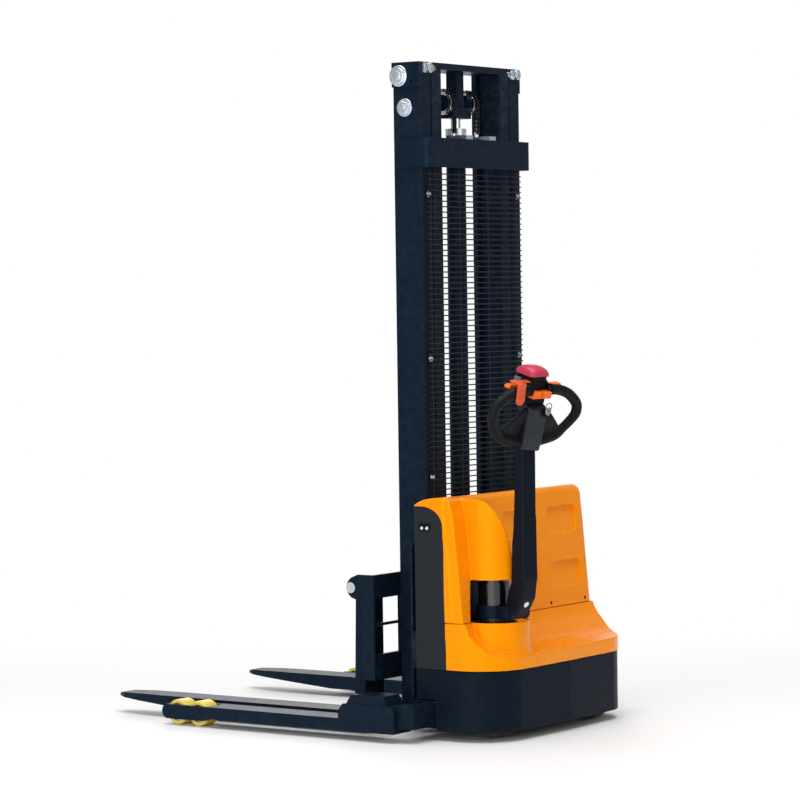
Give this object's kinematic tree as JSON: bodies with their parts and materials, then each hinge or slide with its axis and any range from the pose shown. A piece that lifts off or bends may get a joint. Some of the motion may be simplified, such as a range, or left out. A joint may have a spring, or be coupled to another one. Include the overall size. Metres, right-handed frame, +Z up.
{
  "type": "walkie stacker",
  "caption": "Pedestrian electric straddle stacker with two-stage telescopic mast, adjustable forks, straddle legs on tandem rollers and a steered tiller with handle controls.",
  "frame": {"origin": "centre of the footprint on the floor, midway between the widest, the rearmost and the foremost points", "axes": "+Z up, +Y towards the fork tips, +X to the right of a driver standing at the tiller and facing the mast"},
  "size_m": [1.054, 1.6463, 2.08],
  "materials": {
    "orange_cover": "semi-gloss moulded cover",
    "dark_paint": "satin powder coat",
    "black_plastic": "textured",
    "soft_grip": "soft-touch",
    "zinc": "zinc plated",
    "steel_bright": "ground and chromed",
    "chain_steel": "oiled",
    "bare_steel": "machined",
    "wire_black": "dipped",
    "pu_yellow": "polyurethane tread",
    "tyre_black": "rubber tread",
    "red_button": "smooth",
    "orange_red": "smooth",
    "orange_button": "ribbed",
    "grey_button": "smooth",
    "battery_case": "moulded",
    "pump_metal": "cast",
    "brass_key": "plated"
  },
  "bodies": {
    "chassis": {"sleeve_beam": "dark_paint", "bulkhead": "dark_paint", "deck_plate": "dark_paint", "skirt": "dark_paint", "side_panels": "dark_paint", "lower_cover": "orange_cover", "upper_hood": "orange_cover", "battery_pack": "battery_case", "pump_unit": "pump_metal", "mast_uprights": "dark_paint", "mast_bottom_tie": "dark_paint", "mast_cross_band": "dark_paint", "mast_top_plates": "dark_paint", "mast_bolts": "zinc", "lift_cylinder": "dark_paint", "cylinder_gland": "zinc", "chain_anchors": "zinc", "mesh_guard": "wire_black", "guard_clips": "dark_paint", "chain_rear": "chain_steel"},
    "inner_mast": {"inner_uprights": "dark_paint", "inner_top_tie": "dark_paint", "inner_bottom_tie": "dark_paint", "lift_rod": "steel_bright", "sheave_yoke": "dark_paint", "chain_front": "chain_steel"},
    "sheave_pair": {"chain_sheaves": "bare_steel"},
    "inner_roller_pair": {"inner_rollers": "bare_steel"},
    "outer_roller_pair": {"outer_rollers": "bare_steel"},
    "carriage": {"carriage_frame": "dark_paint", "carriage_plates": "dark_paint", "fork_shaft": "steel_bright"},
    "carriage_roller_top": {"carriage_rollers_upper": "bare_steel"},
    "carriage_roller_low": {"carriage_rollers_lower": "bare_steel"},
    "fork_l": {"fork_left": "dark_paint"},
    "fork_r": {"fork_right": "dark_paint"},
    "leg_l": {"leg_left": "dark_paint"},
    "leg_r": {"leg_right": "dark_paint"},
    "bogie_l": {"bogie_left": "dark_paint"},
    "bogie_r": {"bogie_right": "dark_paint"},
    "wheel_l_rear": {"load_wheel_left_rear": "pu_yellow"},
    "wheel_l_front": {"load_wheel_left_front": "pu_yellow"},
    "wheel_r_rear": {"load_wheel_right_rear": "pu_yellow"},
    "wheel_r_front": {"load_wheel_right_front": "pu_yellow"},
    "drive_unit": {"drive_housing": "dark_paint", "drive_motor": "black_plastic", "tiller_bracket": "dark_paint"},
    "drive_wheel_spin": {"drive_wheel": "tyre_black"},
    "caster": {"caster_fork": "dark_paint"},
    "caster_wheel_spin": {"caster_wheel": "tyre_black"},
    "tiller": {"tiller_arm": "dark_paint", "handle_neck": "black_plastic", "handle_loop": "soft_grip", "head_housing": "black_plastic"},
    "throttle_lever": {"throttle": "orange_red"},
    "belly_switch": {"belly_button": "red_button"},
    "button_lift": {"lift_button": "orange_button"},
    "button_lower": {"lower_button": "orange_button"},
    "button_horn": {"horn_button": "grey_button"},
    "key_turn": {"key": "brass_key"}
  },
  "joints": [
    {"name": "inner_lift", "type": "slide", "parent": "chassis", "child": "inner_mast", "axis": [0, 0, 1], "range_m": [0, 1.46], "deforming": ["chain_rear"]},
    {"name": "carriage_lift", "type": "slide", "parent": "inner_mast", "child": "carriage", "axis": [0, 0, 1], "range_m": [0, 1.46], "deforming": ["chain_front"]},
    {"name": "sheave_turn", "type": "hinge", "parent": "inner_mast", "child": "sheave_pair", "pos_m": [0, -0.3008, 1.962], "axis": [1, 0, 0], "range_deg": [0, 2016.71]},
    {"name": "inner_roller_turn", "type": "hinge", "parent": "inner_mast", "child": "inner_roller_pair", "pos_m": [0, -0.3093, 0.14], "axis": [1, 0, 0], "range_deg": [0, 2145.92]},
    {"name": "outer_roller_turn", "type": "hinge", "parent": "chassis", "child": "outer_roller_pair", "pos_m": [0, -0.3093, 1.94], "axis": [1, 0, 0], "range_deg": [0, 2145.92]},
    {"name": "carriage_roller_top_turn", "type": "hinge", "parent": "carriage", "child": "carriage_roller_top", "pos_m": [0, -0.3093, 0.44], "axis": [1, 0, 0], "range_deg": [-2145.92, 0]},
    {"name": "carriage_roller_low_turn", "type": "hinge", "parent": "carriage", "child": "carriage_roller_low", "pos_m": [0, -0.3093, 0.23], "axis": [1, 0, 0], "range_deg": [0, 2145.92]},
    {"name": "fork_left_slide", "type": "slide", "parent": "carriage", "child": "fork_l", "axis": [1, 0, 0], "range_m": [0, 0.15]},
    {"name": "fork_right_slide", "type": "slide", "parent": "carriage", "child": "fork_r", "axis": [-1, 0, 0], "range_m": [0, 0.15]},
    {"name": "leg_left_slide", "type": "slide", "parent": "chassis", "child": "leg_l", "axis": [-1, 0, 0], "range_m": [0, 0.15]},
    {"name": "leg_right_slide", "type": "slide", "parent": "chassis", "child": "leg_r", "axis": [1, 0, 0], "range_m": [0, 0.15]},
    {"name": "bogie_rock_l", "type": "hinge", "parent": "leg_l", "child": "bogie_l", "pos_m": [-0.4795, 0.4142, 0.046], "axis": [1, 0, 0], "range_deg": [-6, 6]},
    {"name": "wheel_l_rear_turn", "type": "hinge", "parent": "bogie_l", "child": "wheel_l_rear", "pos_m": [-0.4795, 0.3722, 0.04], "axis": [1, 0, 0], "continuous": true},
    {"name": "wheel_l_front_turn", "type": "hinge", "parent": "bogie_l", "child": "wheel_l_front", "pos_m": [-0.4795, 0.4562, 0.04], "axis": [1, 0, 0], "continuous": true},
    {"name": "bogie_rock_r", "type": "hinge", "parent": "leg_r", "child": "bogie_r", "pos_m": [0.4795, 0.4142, 0.046], "axis": [1, 0, 0], "range_deg": [-6, 6]},
    {"name": "wheel_r_rear_turn", "type": "hinge", "parent": "bogie_r", "child": "wheel_r_rear", "pos_m": [0.4795, 0.3722, 0.04], "axis": [1, 0, 0], "continuous": true},
    {"name": "wheel_r_front_turn", "type": "hinge", "parent": "bogie_r", "child": "wheel_r_front", "pos_m": [0.4795, 0.4562, 0.04], "axis": [1, 0, 0], "continuous": true},
    {"name": "steer", "type": "hinge", "parent": "chassis", "child": "drive_unit", "pos_m": [-0.235, -0.5828, 0.2], "axis": [0, 0, 1], "range_deg": [-60, 92]},
    {"name": "drive_wheel_turn", "type": "hinge", "parent": "drive_unit", "child": "drive_wheel_spin", "pos_m": [-0.235, -0.5828, 0.1], "axis": [0.9781, -0.2079, 0], "continuous": true},
    {"name": "caster_swivel", "type": "hinge", "parent": "chassis", "child": "caster", "pos_m": [0.25, -0.5828, 0.2], "axis": [0, 0, 1], "continuous": true},
    {"name": "caster_wheel_turn", "type": "hinge", "parent": "caster", "child": "caster_wheel_spin", "pos_m": [0.25, -0.6148, 0.0625], "axis": [1, 0, 0], "continuous": true},
    {"name": "tiller_tilt", "type": "hinge", "parent": "drive_unit", "child": "tiller", "pos_m": [-0.25475, -0.67572, 0.388], "axis": [0.9781, -0.2079, 0], "range_deg": [0, 60], "stiffness_Nm_per_rad": 22, "springref_deg": -31.51},
    {"name": "throttle_turn", "type": "hinge", "parent": "tiller", "child": "throttle_lever", "pos_m": [-0.27181, -0.75597, 1.08369], "axis": [0.9781, -0.2079, 0], "range_deg": [-22, 22], "stiffness_Nm_per_rad": 0.6},
    {"name": "belly_press", "type": "slide", "parent": "tiller", "child": "belly_switch", "axis": [0.0535, 0.2515, -0.9664], "range_m": [0, 0.007], "stiffness_N_per_m": 900, "springref_m": -0.004},
    {"name": "lift_press", "type": "slide", "parent": "tiller", "child": "button_lift", "axis": [0.2009, 0.9453, 0.2571], "range_m": [0, 0.003], "stiffness_N_per_m": 500, "springref_m": -0.002},
    {"name": "lower_press", "type": "slide", "parent": "tiller", "child": "button_lower", "axis": [0.2009, 0.9453, 0.2571], "range_m": [0, 0.003], "stiffness_N_per_m": 500, "springref_m": -0.002},
    {"name": "horn_press", "type": "slide", "parent": "tiller", "child": "button_horn", "axis": [0.9781, -0.2079, 0], "range_m": [0, 0.003], "stiffness_N_per_m": 400, "springref_m": -0.002},
    {"name": "key_switch", "type": "hinge", "parent": "tiller", "child": "key_turn", "pos_m": [-0.25395, -0.78257, 1.00221], "axis": [-0.2009, -0.9453, -0.2571], "range_deg": [0, 90]}
  ],
  "couplings": [
    {"joint": "carriage_lift", "follows": "inner_lift", "ratio": 1},
    {"joint": "sheave_turn", "follows": "inner_lift", "rad_per_m": 24.096},
    {"joint": "inner_roller_turn", "follows": "inner_lift", "rad_per_m": 25.641},
    {"joint": "outer_roller_turn", "follows": "inner_lift", "rad_per_m": 25.641},
    {"joint": "carriage_roller_top_turn", "follows": "inner_lift", "rad_per_m": -25.641},
    {"joint": "carriage_roller_low_turn", "follows": "inner_lift", "rad_per_m": 25.641}
  ]
}
